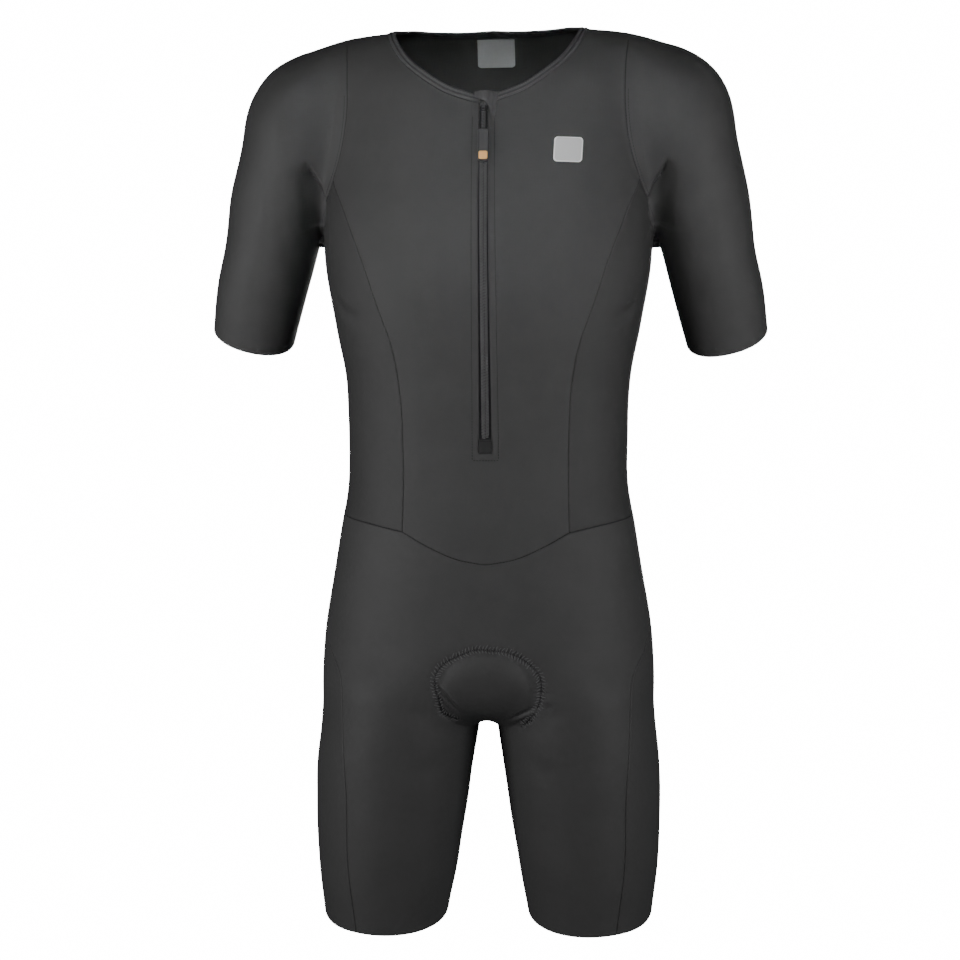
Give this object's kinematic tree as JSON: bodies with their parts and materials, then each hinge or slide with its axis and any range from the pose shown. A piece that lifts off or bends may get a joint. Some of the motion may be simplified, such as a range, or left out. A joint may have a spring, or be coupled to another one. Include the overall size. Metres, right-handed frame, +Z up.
{
  "type": "time trial skinsuit",
  "caption": "Short-sleeved one-piece cycling skinsuit with a half zip, bound neck, side panels and a padded seat, in its hollow worn form.",
  "frame": {"origin": "middle of the garment between the shoulders, at the height of the shoulder tops, where the wearer's shoulders hold it up", "axes": "+Z up, -Y towards the front with the zip, +X towards the wearer's left"},
  "size_m": [0.5555, 0.2349, 0.8982],
  "materials": {
    "body_knit": "fine matte stretch knit, charcoal black",
    "binding_knit": "doubled knit binding with two rows of stitching",
    "zip_tape": "woven zip tape",
    "zip_coil": "nylon coil zip chain",
    "slider_metal": "dark enamelled slider",
    "pull_cord": "braided cord",
    "pull_rubber": "matte moulded rubber",
    "pull_inset": "plain orange inset",
    "label_satin": "plain grey satin label",
    "patch_film": "plain silver reflective film",
    "pad_foam": "knit-covered foam pad"
  },
  "bodies": {
    "garment": {"front_panel": "body_knit", "back_panel": "body_knit", "side_panel_left": "body_knit", "side_panel_right": "body_knit", "sleeve_left": "body_knit", "sleeve_right": "body_knit", "shorts_front": "body_knit", "shorts_back": "body_knit", "leg_side_left": "body_knit", "leg_side_right": "body_knit", "neck_binding": "binding_knit", "zip_tape": "zip_tape", "zip_chain": "zip_coil", "zip_end_patch": "binding_knit", "zip_garage": "binding_knit", "zip_slider": "slider_metal", "neck_label": "label_satin", "chest_patch": "patch_film", "seat_pad": "pad_foam"},
    "zip_pull": {"zip_pull_cord": "pull_cord", "zip_pull_tab": "pull_rubber", "zip_pull_inset": "pull_inset"}
  },
  "joints": [
    {"name": "pull_swing", "type": "hinge", "parent": "garment", "child": "zip_pull", "pos_m": [-0.002, -0.08836, -0.06278], "axis": [-1, 0, 0], "range_deg": [0, 120]}
  ]
}
